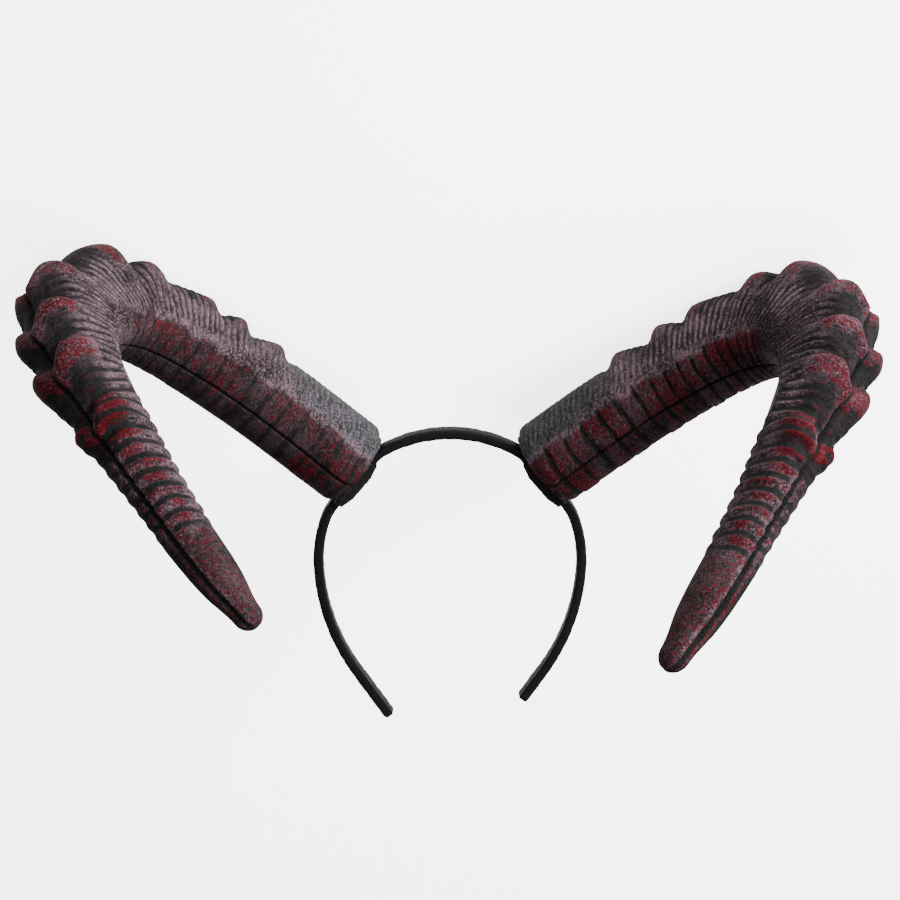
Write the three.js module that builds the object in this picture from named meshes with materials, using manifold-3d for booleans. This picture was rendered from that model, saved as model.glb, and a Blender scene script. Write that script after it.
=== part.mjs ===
import * as THREE from 'three';
import { mergeVertices } from 'three/addons/utils/BufferGeometryUtils.js';
import Module from 'manifold-3d';

// Horn headband: two hollow foam horns, each glued from two moulded halves, on a satin-covered band.
// It lies on the backs of its horns with the tips up, as it would on a table.
// Millimetres, +Z up, +X to the viewer's right, +Y the way the crown of the band points.

// Clearances and walls
const GAP = 0.3;
const FOAM_WALL = 4;
const FELT_WALL = 1.5;

// Band: its section, and the stretches of its centre line from the crown out to one end
const BAND = { width: 8.8, thickness: 5.2, corner: 1.4, step: 5.5 };
const BAND_STRETCHES = [
  { name: 'crown', length: 34, turn: 29 },
  { name: 'upper_shoulder', length: 7.5, turn: 21 },
  { name: 'seat', length: 30, turn: 0 },
  { name: 'lower_shoulder', length: 10, turn: 20 },
  { name: 'side', length: 25.5, turn: 22 },
  { name: 'arm', length: 62, turn: 32 },
];
const BAND_END_LENGTH = { left: 28, right: 17 };
// Ends of the satin cover, drawn in: how far beyond the last stretch, and the share of the section left
const BAND_END_TAPER = [
  { beyond: 1.25, share: 0.9 },
  { beyond: 2.5, share: 0.6 },
];

// Felt patch that holds a horn on the band: a strip pressed over the band, with a flange on each side
const PATCH = { length: 27, width: 26, corner: 5 };

// Horn centre line, in the horn's own plane: an even curl over its length and a hairpin on top of it.
// The foam gives, so the left horn is bent a little tighter than the right one and its point is shorter.
const HORN = { length: 376, hairpinFrom: 102, hairpinTo: 240, pointFrom: 300, squareness: 2.6 };
const HORN_BENDS = {
  left: { curl: 33, hairpin: 119, pointStretch: 0.95 },
  right: { curl: 26, hairpin: 112.5, pointStretch: 1.06 },
};
// Half sizes of the horn's section away from the hairpin, into it, and across the parting plane
const HORN_SECTIONS = [
  { along: -12, outward: 20.5, inward: 24, across: 19.6 },
  { along: 0, outward: 21, inward: 24.2, across: 19.8 },
  { along: 76, outward: 23, inward: 19.8, across: 20 },
  { along: 151, outward: 26.4, inward: 25, across: 17.8 },
  { along: 212, outward: 18.4, inward: 20.6, across: 17 },
  { along: 295, outward: 11.8, inward: 12, across: 10.9 },
  { along: 350, outward: 9.3, inward: 9.5, across: 8.4 },
  { along: 370, outward: 6.5, inward: 6.5, across: 6 },
  { along: 376, outward: 3.4, inward: 3.4, across: 3.2 },
];
// Knuckles beside the outer seam of each half: a steep rise to the crest, then a longer fall
const KNUCKLES = [
  { crest: 66, height: 4, rise: 9, fall: 15 },
  { crest: 90, height: 4.4, rise: 9, fall: 12 },
  { crest: 110, height: 3.6, rise: 9, fall: 18 },
  { crest: 138, height: 4.6, rise: 11, fall: 10 },
  { crest: 155, height: 6.5, rise: 9, fall: 18 },
  { crest: 182, height: 5.5, rise: 11, fall: 12 },
  { crest: 203, height: 5.5, rise: 10, fall: 11 },
  { crest: 223, height: 5.5, rise: 10, fall: 22 },
  { crest: 256, height: 4.5, rise: 12, fall: 12 },
];
// Where a knuckle stands around the half, in degrees from the outer seam
const KNUCKLE_AROUND = { seamShare: 0.35, full: 30, fadeFrom: 50, fadeTo: 112 };
// Ribs on the outside of the point, and on the inner face of the leg
const POINT_RIBS = { first: 272, pitch: 7.8, count: 7, height: 2.1, from: 4, to: 125, fade: 30 };
const LEG_RIBS = { first: 10, pitch: 9.6, count: 14, height: 1.3, from: 118, to: 178, fade: 14 };
// Groove along both seams, shallower where the horn is thinner than fullAcross
const SEAM_GROOVE = { depth: 1.8, width: 10, fullAcross: 10 };
// The hollow inside a half, and how finely the surfaces are divided
const HOLLOW = { from: 2, to: 300, step: 15, reach: 3 };
const STATION_STEP = { leg: 4.8, hairpin: 4.5, point: 3.9, tip: 8 };
const OUTER_COLUMNS = [180, 168, 148, 126, 104, 82, 60, 40, 22, 8, 0];
const HOLLOW_COLUMNS = [180, 150, 120, 90, 60, 30, 0];
// Side of the block that squares off the foot of a horn on its seat
const SEAT_BLOCK = 110;

// Placing of each horn on the band: the foot of its centre line from the crown of the band,
// the heading of its front half, and how far the horn is rolled forward and spun in its plane
const HORN_PLACES = {
  left: { foot: [-47.8, -16.2, 0], heading: 50.6, roll: 11.8, spin: 0.5 },
  right: { foot: [42.4, -19.6, 0.4], heading: 50.9, roll: 13.4, spin: 5.2 },
};
// How the headband lies: leaned back on its horns, and rolled a little because they differ
const LIE = { lean: -30.2, roll: 2.2 };

const FINISHES = {
  satin: { color: 0x141316, roughness: 0.5 },
  felt: { color: 0x0f0e10, roughness: 0.95 },
  foam: { color: 0x352a2d, roughness: 0.75 },
};

// Corners closer together than this are one corner
const WELD = 1e-4;

const rad = THREE.MathUtils.degToRad;
const ease = THREE.MathUtils.smoothstep;

const wasm = await Module();
wasm.setup();

function toSolid(geometry) {
  const bare = new THREE.BufferGeometry();
  bare.setAttribute('position', geometry.getAttribute('position').clone());
  bare.setIndex(geometry.getIndex());
  const merged = mergeVertices(bare, WELD);
  const vertProperties = new Float32Array(merged.getAttribute('position').array);
  const triVerts = new Uint32Array(merged.getIndex().array);
  return new wasm.Manifold(new wasm.Mesh({ numProp: 3, vertProperties, triVerts }));
}

function toGeometry(solid) {
  const mesh = solid.getMesh();
  const geometry = new THREE.BufferGeometry();
  geometry.setAttribute('position', new THREE.BufferAttribute(mesh.vertProperties, 3));
  geometry.setIndex(new THREE.BufferAttribute(mesh.triVerts, 1));
  geometry.computeVertexNormals();
  return geometry;
}

// Closed skin over a row of rings of points, with a flat fan at each end
function skinRings(rings) {
  const size = rings[0].length;
  const corners = rings.flat().flatMap((p) => [p.x, p.y, p.z]);
  const faces = [];
  for (let row = 0; row + 1 < rings.length; row += 1) {
    for (let column = 0; column < size; column += 1) {
      const next = (column + 1) % size;
      const a = row * size + column;
      const b = row * size + next;
      faces.push(a, b, a + size, b, b + size, a + size);
    }
  }
  const last = (rings.length - 1) * size;
  for (let column = 1; column + 1 < size; column += 1) {
    faces.push(0, column + 1, column);
    faces.push(last, last + column, last + column + 1);
  }
  const geometry = new THREE.BufferGeometry();
  geometry.setAttribute('position', new THREE.Float32BufferAttribute(corners, 3));
  geometry.setIndex(faces);
  geometry.computeVertexNormals();
  return geometry;
}

// The same shape seen in a mirror across one axis, with its faces still pointing out
function mirrored(geometry, axis) {
  const scale = new THREE.Vector3(1, 1, 1);
  scale[axis] = -1;
  const copy = geometry.clone();
  copy.getAttribute('position').applyMatrix4(new THREE.Matrix4().makeScale(scale.x, scale.y, scale.z));
  const index = copy.getIndex().array;
  for (let corner = 0; corner < index.length; corner += 3) {
    [index[corner], index[corner + 1]] = [index[corner + 1], index[corner]];
  }
  copy.computeVertexNormals();
  return copy;
}

function pieceMesh(name, geometry, finish) {
  const mesh = new THREE.Mesh(geometry, new THREE.MeshStandardMaterial(FINISHES[finish]));
  mesh.name = name;
  return mesh;
}

// Centre line of one side of the band: points with headings, from the crown to the end
function traceBandSide(side) {
  const end = { name: 'end', length: BAND_END_LENGTH[side], turn: 0 };
  const outward = side === 'left' ? -1 : 1;
  const place = new THREE.Vector2(0, 0);
  const points = [{ place: place.clone(), heading: 0, outward, stretch: 'crown' }];
  let heading = 0;
  for (const stretch of [...BAND_STRETCHES, end]) {
    const steps = Math.max(stretch.turn ? 2 : 1, Math.round(stretch.length / BAND.step));
    for (let step = 0; step < steps; step += 1) {
      const turn = rad(stretch.turn) / steps;
      const chord = stretch.length / steps;
      const along = heading + turn / 2;
      place.x += outward * chord * Math.cos(along);
      place.y -= chord * Math.sin(along);
      heading += turn;
      points.push({ place: place.clone(), heading, outward, stretch: stretch.name });
    }
  }
  return points;
}

// One ring of the band with its corners cut, square to the centre line and drawn in to a share of itself
function bandRing({ place, heading, outward }, share) {
  const drawnIn = ((1 - share) * BAND.thickness) / 2;
  const halfThick = BAND.thickness / 2 - drawnIn;
  const halfWide = BAND.width / 2 - drawnIn;
  const cut = BAND.corner * share;
  const outX = outward * Math.sin(heading);
  const outY = Math.cos(heading);
  const profile = [
    [halfThick, -(halfWide - cut)], [halfThick, halfWide - cut], [halfThick - cut, halfWide],
    [-(halfThick - cut), halfWide], [-halfThick, halfWide - cut], [-halfThick, -(halfWide - cut)],
    [-(halfThick - cut), -halfWide], [halfThick - cut, -halfWide],
  ];
  return profile.map(([out, front]) => new THREE.Vector3(place.x + out * outX, place.y + out * outY, front));
}

// All rings of one side of the band, from the crown to its drawn-in end
function bandSideRings(side) {
  const points = traceBandSide(side);
  const last = points[points.length - 1];
  const onward = new THREE.Vector2(last.outward * Math.cos(last.heading), -Math.sin(last.heading));
  const drawn = BAND_END_TAPER.map(({ beyond, share }) => {
    const place = last.place.clone().addScaledVector(onward, beyond);
    return bandRing({ ...last, place }, share);
  });
  return [...points.map((point) => bandRing(point, 1)), ...drawn];
}

function makeBand() {
  return skinRings([...bandSideRings('left').reverse(), ...bandSideRings('right').slice(1)]);
}

// Frame of the flat stretch under a horn: X along the band, Y away from the head, Z forward
function seatFrame(side) {
  const points = traceBandSide(side);
  const from = points.findIndex((point) => point.stretch === 'seat') - 1;
  const to = points.findLastIndex((point) => point.stretch === 'seat');
  const middle = points[from].place.clone().lerp(points[to].place, 0.5);
  const frame = new THREE.Matrix4().makeRotationZ(-points[to].outward * points[to].heading);
  return frame.setPosition(middle.x, middle.y, 0);
}

// Felt patch in its seat's frame: flanges against the horn's foot, and a bridge under the band
function makePatch() {
  const flangeTop = BAND.thickness / 2;
  const bridgeTop = -BAND.thickness / 2 - GAP;
  const inside = BAND.width / 2 + GAP;
  const outside = inside + FELT_WALL;
  const edge = PATCH.width / 2;
  const half = [
    [edge, flangeTop], [inside, flangeTop], [inside, bridgeTop],
  ];
  const under = [
    [outside, bridgeTop - FELT_WALL], [outside, flangeTop - FELT_WALL], [edge, flangeTop - FELT_WALL],
  ];
  const flip = ([x, y]) => [-x, y];
  const outline = [...half, ...half.map(flip).reverse(), ...under.map(flip).reverse(), ...under];
  const profile = new THREE.Shape(outline.map(([x, y]) => new THREE.Vector2(x, y)));
  const strip = new THREE.ExtrudeGeometry(profile, { depth: PATCH.length, bevelEnabled: false });
  strip.translate(0, 0, -PATCH.length / 2).rotateY(Math.PI / 2);
  const x = PATCH.length / 2;
  const r = PATCH.corner;
  const plan = new THREE.Shape();
  plan.moveTo(-x + r, -edge).lineTo(x - r, -edge).absarc(x - r, -edge + r, r, -Math.PI / 2, 0);
  plan.lineTo(x, edge - r).absarc(x - r, edge - r, r, 0, Math.PI / 2);
  plan.lineTo(-x + r, edge).absarc(-x + r, edge - r, r, Math.PI / 2, Math.PI);
  plan.lineTo(-x, -edge + r).absarc(-x + r, -edge + r, r, Math.PI, 1.5 * Math.PI);
  const depth = PATCH.width;
  const cutter = new THREE.ExtrudeGeometry(plan, { depth, bevelEnabled: false, curveSegments: 4 });
  cutter.translate(0, 0, -depth / 2).rotateX(Math.PI / 2);
  return toGeometry(toSolid(strip).intersect(toSolid(cutter)));
}

// Horn centre line: its heading in the horn's plane, and its points every millimetre
function hornHeading(bend, along) {
  const curl = (bend.curl * along) / HORN.length;
  return rad(curl + bend.hairpin * ease(along, HORN.hairpinFrom, HORN.hairpinTo));
}

function traceHorn(bend) {
  const points = [];
  const place = new THREE.Vector2();
  for (let along = 0; along <= HORN.length; along += 1) {
    points.push(place.clone());
    const heading = hornHeading(bend, along + 0.5);
    const step = along < HORN.pointFrom ? 1 : bend.pointStretch;
    place.x += step * Math.cos(heading);
    place.y += step * Math.sin(heading);
  }
  return points;
}

function hornPlace(line, along) {
  if (along <= 0) {
    return new THREE.Vector2(along, 0);
  }
  const before = Math.min(Math.floor(along), HORN.length - 1);
  return line[before].clone().lerp(line[before + 1], along - before);
}

const sectionSizes = new THREE.CubicInterpolant(
  HORN_SECTIONS.map((row) => row.along),
  HORN_SECTIONS.flatMap((row) => [row.outward, row.inward, row.across]),
  3,
);

// Height of the moulded relief at a place on a half, in millimetres above the plain section
function knuckleRelief(along, degrees) {
  const { seamShare, full, fadeFrom, fadeTo } = KNUCKLE_AROUND;
  const beside = seamShare + (1 - seamShare) * ease(degrees, 0, full);
  const around = beside * (1 - ease(degrees, fadeFrom, fadeTo));
  let height = 0;
  for (const { crest, height: top, rise, fall } of KNUCKLES) {
    const up = ease(along, crest - rise, crest);
    const down = 1 - ease(along, crest, crest + fall);
    height += top * up * down;
  }
  return height * around;
}

function ribRelief(along, degrees, ribs) {
  const turn = (along - ribs.first) / ribs.pitch;
  if (turn < -0.5 || turn > ribs.count - 0.5) {
    return 0;
  }
  const wave = 0.5 + 0.5 * Math.cos(2 * Math.PI * turn);
  const starts = ease(degrees, ribs.from - ribs.fade, ribs.from);
  const ends = 1 - ease(degrees, ribs.to - ribs.fade, ribs.to);
  return ribs.height * wave * starts * ends;
}

function seamRelief(along, degrees) {
  const across = sectionSizes.evaluate(along)[2];
  const depth = SEAM_GROOVE.depth * Math.min(1, across / SEAM_GROOVE.fullAcross);
  const fromSeam = Math.min(degrees, 180 - degrees);
  return -depth * (1 - ease(fromSeam, 0, SEAM_GROOVE.width));
}

function relief(along, degrees) {
  const ribs = ribRelief(along, degrees, POINT_RIBS) + ribRelief(along, degrees, LEG_RIBS);
  return knuckleRelief(along, degrees) + ribs + seamRelief(along, degrees);
}

// A point of the section, as distances away from the hairpin and up from the parting plane
function sectionPoint(along, degrees, inset) {
  const [outward, inward, across] = sectionSizes.evaluate(along);
  const power = 2 / HORN.squareness;
  const cos = Math.cos(rad(degrees));
  const reach = cos > 0 ? outward - inset : inward - inset;
  const out = Math.sign(cos) * Math.abs(cos) ** power * reach;
  const up = Math.max(0, Math.sin(rad(degrees))) ** power * (across - inset);
  return new THREE.Vector2(out, up);
}

// Rings of the outside and of the hollow of a half, as points in the section at a station
function outerRing(along) {
  return OUTER_COLUMNS.map((degrees) => {
    const point = sectionPoint(along, degrees, 0);
    point.setLength(point.length() + relief(along, degrees));
    return point.setY(point.y + GAP / 2);
  });
}

function hollowRing(along) {
  const points = HOLLOW_COLUMNS.map((degrees) => sectionPoint(along, degrees, FOAM_WALL));
  const below = -HOLLOW.reach;
  const [first, last] = [points[0], points[points.length - 1]];
  return [new THREE.Vector2(first.x, below), ...points, new THREE.Vector2(last.x, below)];
}

// Rings stood up along a bent centre line
function ringsAlong(bend, stations, ringAt) {
  const line = traceHorn(bend);
  return stations.map((along) => {
    const heading = hornHeading(bend, along);
    const { x, y } = hornPlace(line, along);
    const [outX, outY] = [Math.sin(heading), -Math.cos(heading)];
    return ringAt(along).map((point) => new THREE.Vector3(x + point.x * outX, y + point.x * outY, point.y));
  });
}

function evenly(from, to, step) {
  const count = Math.max(1, Math.round((to - from) / step));
  return Array.from({ length: count }, (_, index) => from + ((to - from) * index) / count);
}

function outerStations() {
  const ribsFrom = POINT_RIBS.first - 1.5 * POINT_RIBS.pitch;
  const ribsTo = POINT_RIBS.first + POINT_RIBS.count * POINT_RIBS.pitch;
  const tipRows = HORN_SECTIONS.slice(-2).map((row) => row.along);
  return [
    HORN_SECTIONS[0].along,
    ...evenly(LEG_RIBS.first - 2 * STATION_STEP.leg, HORN.hairpinFrom, STATION_STEP.leg),
    ...evenly(HORN.hairpinFrom, ribsFrom, STATION_STEP.hairpin),
    ...evenly(ribsFrom, ribsTo, STATION_STEP.point),
    ...evenly(ribsTo, tipRows[0], STATION_STEP.tip),
    ...tipRows,
  ];
}

// The front half of a horn in the horn's own frame, cut off square on its seat
function makeHornHalf(bend, seatBlock) {
  const outside = toSolid(skinRings(ringsAlong(bend, outerStations(), outerRing)));
  const stations = [...evenly(HOLLOW.from, HOLLOW.to, HOLLOW.step), HOLLOW.to];
  const hollow = toSolid(skinRings(ringsAlong(bend, stations, hollowRing)));
  return outside.subtract(hollow).subtract(seatBlock);
}

// Nested groups that place a horn on the band
function hornGroups(side) {
  const { foot, heading, roll, spin } = HORN_PLACES[side];
  const sense = side === 'left' ? 1 : -1;
  const turned = new THREE.Group();
  turned.position.fromArray(foot);
  turned.rotation.z = sense * rad(heading + 90);
  const rolled = new THREE.Group();
  rolled.rotation.x = rad(90 - roll);
  const spun = new THREE.Group();
  spun.rotation.z = sense * rad(spin);
  turned.add(rolled);
  rolled.add(spun);
  return { turned, spun };
}

function makeHorn(side) {
  const { turned, spun } = hornGroups(side);
  turned.updateMatrixWorld(true);
  const block = new THREE.BoxGeometry(SEAT_BLOCK, SEAT_BLOCK, SEAT_BLOCK);
  block.translate(0, BAND.thickness / 2 + GAP - SEAT_BLOCK / 2, 0);
  block.applyMatrix4(spun.matrixWorld.clone().invert().multiply(seatFrame(side)));
  for (const half of ['front', 'back']) {
    let seatBlock = block;
    if (side === 'right') {
      seatBlock = mirrored(seatBlock, 'x');
    }
    if (half === 'back') {
      seatBlock = mirrored(seatBlock, 'z');
    }
    let geometry = toGeometry(makeHornHalf(HORN_BENDS[side], toSolid(seatBlock)));
    if (half === 'back') {
      geometry = mirrored(geometry, 'z');
    }
    if (side === 'right') {
      geometry = mirrored(geometry, 'x');
    }
    spun.add(pieceMesh(`horn_${side}_${half}`, geometry, 'foam'));
  }
  return turned;
}

const headband = new THREE.Group();
headband.add(pieceMesh('band', makeBand(), 'satin'));
for (const side of ['left', 'right']) {
  const patch = pieceMesh(`base_patch_${side}`, makePatch(), 'felt');
  seatFrame(side).decompose(patch.position, patch.quaternion, patch.scale);
  headband.add(patch, makeHorn(side));
}

// Laid down: leaned and rolled, then moved so that it rests on Z = 0 with its outline centred
const part = new THREE.Group();
headband.rotation.set(rad(LIE.lean), rad(LIE.roll), 0);
part.add(headband);
part.updateMatrixWorld(true);
const outline = new THREE.Box3().setFromObject(part, true);
const centre = outline.getCenter(new THREE.Vector3());
headband.position.set(-centre.x, -centre.y, -outline.min.z);

export default part;
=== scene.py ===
# %% [markdown]
# # A horn headband in painted foam
# The object is a pair of costume horns on a satin-covered hair band. Each horn is moulded in soft foam
# as a front and a back half that are glued together along two seams. The headband lies on the backs of
# its horns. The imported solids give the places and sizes; this lesson models the surfaces you see.

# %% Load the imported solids
import math

import bmesh
import bpy
import numpy as np
from mathutils import Matrix, Vector


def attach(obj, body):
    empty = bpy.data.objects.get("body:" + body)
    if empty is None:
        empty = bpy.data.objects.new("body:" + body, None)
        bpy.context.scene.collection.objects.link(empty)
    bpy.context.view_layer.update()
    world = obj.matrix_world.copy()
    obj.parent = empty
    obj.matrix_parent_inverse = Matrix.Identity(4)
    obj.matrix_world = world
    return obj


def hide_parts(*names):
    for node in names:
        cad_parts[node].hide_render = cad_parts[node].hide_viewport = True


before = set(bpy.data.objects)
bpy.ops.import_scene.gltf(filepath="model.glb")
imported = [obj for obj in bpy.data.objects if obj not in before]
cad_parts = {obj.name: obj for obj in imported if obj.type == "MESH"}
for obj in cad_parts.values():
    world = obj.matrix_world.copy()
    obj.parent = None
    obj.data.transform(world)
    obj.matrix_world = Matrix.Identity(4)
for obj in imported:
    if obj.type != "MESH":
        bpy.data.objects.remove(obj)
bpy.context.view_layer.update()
MM = 0.001

# %% [markdown]
# ## Where the headband lies
# All sizes below are in millimetres in the band's own frame: X to the viewer's right, Y towards the crown
# of the band, Z to the wearer's front, with the origin at the crown. One matrix leans and rolls that frame
# as the headband lies and takes it to metres, so every piece can be modelled the way it is worn.

# %% The lying frame
LIE = {"lean": -30.2, "roll": 2.2}
CROWN = (-0.53, 4.68, 41.27)


def turn(axis, degrees):
    return Matrix.Rotation(math.radians(degrees), 4, axis)


lying = Matrix.Translation(Vector(CROWN) * MM) @ turn("X", LIE["lean"]) @ turn("Y", LIE["roll"])
worn_to_lying = lying @ Matrix.Scale(MM, 4)
print("the crown of the band is", round(lying.translation.z * 1000, 1), "mm above the floor")

# %% [markdown]
# ## The camera
# The photograph looks at the wearer's front from a little above the band, from about 1.2 metres. With the
# headband lying on its horns, that view is from the front side, some forty degrees above the floor. The
# camera is placed in the worn frame, where the view is plain, and the lying matrix carries it along.

# %% Camera
VIEW = {"down": 18, "distance": 1200, "lens": 96, "sensor": 36, "aim": (0, -9.39, -1.39)}
camera_data = bpy.data.cameras.new("camera")
camera_data.lens = VIEW["lens"]
camera_data.sensor_width = VIEW["sensor"]
camera = bpy.data.objects.new("camera", camera_data)
bpy.context.scene.collection.objects.link(camera)
towards = Vector((0, math.sin(math.radians(VIEW["down"])), math.cos(math.radians(VIEW["down"]))))
eye = Matrix.Translation((Vector(VIEW["aim"]) + VIEW["distance"] * towards) * MM) @ turn("X", -VIEW["down"])
camera.matrix_world = lying @ eye
bpy.context.scene.camera = camera
print("the camera stands", round(camera.matrix_world.translation.z, 3), "m above the floor")

# %% [markdown]
# ## Arithmetic on surfaces
# A horn is one smooth tube with moulded relief on it. It could be sculpted by hand, but a formula can be
# read, changed and repeated on all four halves. The helpers here work on whole arrays at once: an ease
# that goes from 0 to 1 between two places, a window that opens and closes again, and a smooth curve
# through a short table of sizes.

# %% Helpers for curves


def ease(at, low, high):
    share = np.clip((at - low) / (high - low), 0, 1)
    return share * share * (3 - 2 * share)


def window(at, opens, opened, closing, closed):
    return ease(at, opens, opened) * (1 - ease(at, closing, closed))


def curve_through(at, stations, values):
    stations, values = np.array(stations, float), np.array(values, float)
    secants = np.diff(values) / np.diff(stations)
    slopes = np.concatenate(([0], (secants[1:] + secants[:-1]) / 2, [0]))
    spot = np.clip(np.searchsorted(stations, at) - 1, 0, len(stations) - 2)
    gap = stations[spot + 1] - stations[spot]
    share = np.clip((at - stations[spot]) / gap, 0, 1)
    rest = 1 - share
    start = (1 + 2 * share) * rest * rest * values[spot] + share * rest * rest * gap * slopes[spot]
    end = share * share * (3 - 2 * share) * values[spot + 1] - share * share * rest * gap * slopes[spot + 1]
    return start + end


print("an ease is at", [round(float(ease(at, 0, 1)), 2) for at in (0.0, 0.25, 0.5, 0.75, 1.0)])

# %% [markdown]
# ## The horn as a tube
# The centre line of a horn lies in one plane. It curls evenly over its length, with a hairpin on top.
# The section is a rounded square, given by half sizes away from the hairpin, into it, and across the
# parting plane. Angles go round a half from 0 at the outer seam to 180 at the inner seam. A bevelled
# curve would keep one section from foot to tip, so the tube is worked out from these tables instead.

# %% Horn centre line and sections
HORN = {"length": 376, "hairpin_from": 102, "hairpin_to": 240, "point_from": 300}
TRACED = {"from": -20, "to": 400}
TIP_DOME = {"from": 369, "length": 7.5}
BENDS = {"left": {"curl": 33, "hairpin": 119, "point_stretch": 0.95},
         "right": {"curl": 26, "hairpin": 112.5, "point_stretch": 1.06}}
#            along  outward  inward  across
SECTIONS = ((-12, 20.5, 24.0, 19.6),
            (0, 21.0, 24.2, 19.8),
            (76, 23.0, 19.8, 20.0),
            (151, 26.4, 25.0, 17.8),
            (212, 18.4, 20.6, 17.0),
            (295, 11.8, 12.0, 10.9),
            (350, 9.3, 9.5, 8.4),
            (370, 6.5, 6.5, 6.0))
SQUARENESS = 2.6
HALF_GAP = 0.15
WALL = 4


def heading_at(bend, along):
    hairpin = bend["hairpin"] * ease(along, HORN["hairpin_from"], HORN["hairpin_to"])
    return np.radians(bend["curl"] * along / HORN["length"] + hairpin)


def centre_at(bend, along):
    steps = np.arange(0.0, TRACED["to"])
    headings = heading_at(bend, steps + 0.5)
    stretch = np.where(steps < HORN["point_from"], 1, bend["point_stretch"])
    xs = np.concatenate(([TRACED["from"], 0], np.cumsum(stretch * np.cos(headings))))
    ys = np.concatenate(([0, 0], np.cumsum(stretch * np.sin(headings))))
    marks = np.concatenate(([TRACED["from"], 0], steps + 1))
    return np.interp(along, marks, xs), np.interp(along, marks, ys)


def sizes_at(along):
    stations = [row[0] for row in SECTIONS]
    beyond = np.clip((along - TIP_DOME["from"]) / TIP_DOME["length"], 0, 1)
    dome = np.sqrt(1 - beyond * beyond)
    return [curve_through(along, stations, [row[k] for row in SECTIONS]) * dome for k in (1, 2, 3)]


def section_point(along, degrees, inset=0):
    outward, inward, across = [np.maximum(size - inset, 0) for size in sizes_at(along)]
    cos, sin = np.cos(np.radians(degrees)), np.maximum(np.sin(np.radians(degrees)), 0)
    power = 2 / SQUARENESS
    out = np.sign(cos) * np.abs(cos) ** power * np.where(cos > 0, outward, inward)
    return out, sin ** power * across


for side, bend in BENDS.items():
    tip_x, tip_y = centre_at(bend, HORN["length"])
    print(side, "horn tip lies", round(math.hypot(tip_x, tip_y), 1), "mm from its foot")

# %% [markdown]
# ## Knuckles
# The mould gives the foam its character. Knuckles stand beside the outer seam: each rises steeply on the
# foot side and falls off towards the tip, and near the seam it runs out in a lip that points to the tip.
# They are too large for a bump in the finish, because they break the outline, so they are real height.
# The function gives that height in millimetres, and shares from 0 to 1 that the paint uses: the rim on
# the crest, the face that falls to the tip, which gets painted shade, and the dent at the foot.

# %% Knuckles
#           crest  height  rise  fall
KNUCKLES = ((66, 4.0, 8, 14),
            (90, 4.5, 8, 12),
            (110, 3.8, 8, 17),
            (138, 4.8, 8, 10),
            (155, 6.6, 8, 18),
            (182, 6.8, 7, 13),
            (203, 6.8, 7, 12),
            (223, 6.6, 7, 22),
            (256, 3.8, 9, 12))
KNUCKLE_SHIFT = {"left": (2, 5, 7, 5, 0), "right": (0, 0, 0, 0, 0), "along": (60, 90, 110, 155, 182)}
KNUCKLE_ROUND = {"lip": (0, 30), "seam": (0, 24), "fall": (0, 35), "side": (46, 108),
                 "rim": (60, 96), "face": (50, 84)}
LIP = 6
RIM_BEFORE = (8, 3)
RIM_OF_FALL = (0.2, 0.55)
SHADED_FACE_OF_FALL = (0.1, 0.5, 1.0, 1.3)
DENT = {"before": 5, "depth": 1.2}


def knuckle_parts(side, along, degrees):
    along = along + np.interp(along, KNUCKLE_SHIFT["along"], KNUCKLE_SHIFT[side])
    round_by = {name: ease(degrees, *span) for name, span in KNUCKLE_ROUND.items()}
    shifted = along - LIP * (1 - round_by["lip"])
    short = 0.5 + 0.5 * round_by["fall"]
    around = (0.7 + 0.3 * round_by["seam"]) * (1 - round_by["side"])
    height, rim, face, foot = np.zeros((4, len(along)))
    for crest, top, rise, fall in KNUCKLES:
        base = crest - rise
        height += top * window(shifted, base, crest, crest, crest + fall * short)
        rim_from = [crest - before for before in RIM_BEFORE]
        rim += window(shifted, *rim_from, *[crest + share * fall for share in RIM_OF_FALL])
        # The face below the crest is where painted shade goes.
        face += window(shifted, *[crest + share * fall for share in SHADED_FACE_OF_FALL])
        foot += window(shifted, base - DENT["before"], base, base + 0.3 * rise, base + 0.7 * rise)
    height = (height - DENT["depth"] * foot) * around
    rim = np.clip(rim, 0, 1) * (1 - round_by["rim"])
    face = np.clip(face, 0, 1) * (1 - round_by["face"])
    return height, rim, face, foot * around


print(len(KNUCKLES), "knuckles on each half, up to", max(row[1] for row in KNUCKLES), "mm high")

# %% [markdown]
# ## Rings and pads
# Rings go round the sides, fine over the leg and the hairpin and wide and high on the point, where they
# are ribs. They lean, sway and fade in places, as in a mould cut by hand. The inner face of the leg
# carries flat pads with dark grooves between them. On the point the brush caught the tip side of each
# rib, so the rings give two waves: one for the height, and one for the paint that lags a little.

# %% Rings
RING_PITCH = {"along": (60, 190, 235, 268, 330), "pitch": (3.3, 3.4, 5.2, 7.8, 7.8)}
RING_HEIGHT = {"along": (-12, 60, 100, 200, 240, 272, 314, 324),
               "height": (0.2, 0.4, 0.9, 1.1, 1.2, 1.5, 1.5, 0.0)}
RING_LEAN = {"along": (60, 130, 175, 225, 262, 330), "lean": (9, 12, 18, 3, -6, -6)}
#              starts  full  ends
RING_ROUND = {"leg": (20, 52, 120),
              "point": (-4, 8, 146)}
RING_FADE = 12
HAIRPIN_RINGS = {"further": 44, "along": (142, 160, 205, 238)}
RING_CREST = 272
RING_ARCH = 2.5
RING_SWAY = {"broad": 0.15, "fine": 0.07, "lost_on_point": 0.8, "along": (235, 265)}
RIBS_FROM = (238, 268)
BRUSH_LAG = 0.14


def ring_turns(along):
    marks = np.arange(TRACED["from"], TRACED["to"])
    turns = np.cumsum(1 / np.interp(marks, RING_PITCH["along"], RING_PITCH["pitch"]))
    return np.interp(along, marks, turns) - np.interp(RING_CREST, marks, turns)


def ring_lean(along, degrees):
    lean = np.interp(along, RING_LEAN["along"], RING_LEAN["lean"]) * (1 - degrees / 118)
    return lean + RING_ARCH * ease(along, *RIBS_FROM) * ((degrees - 70) / 70) ** 2


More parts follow.
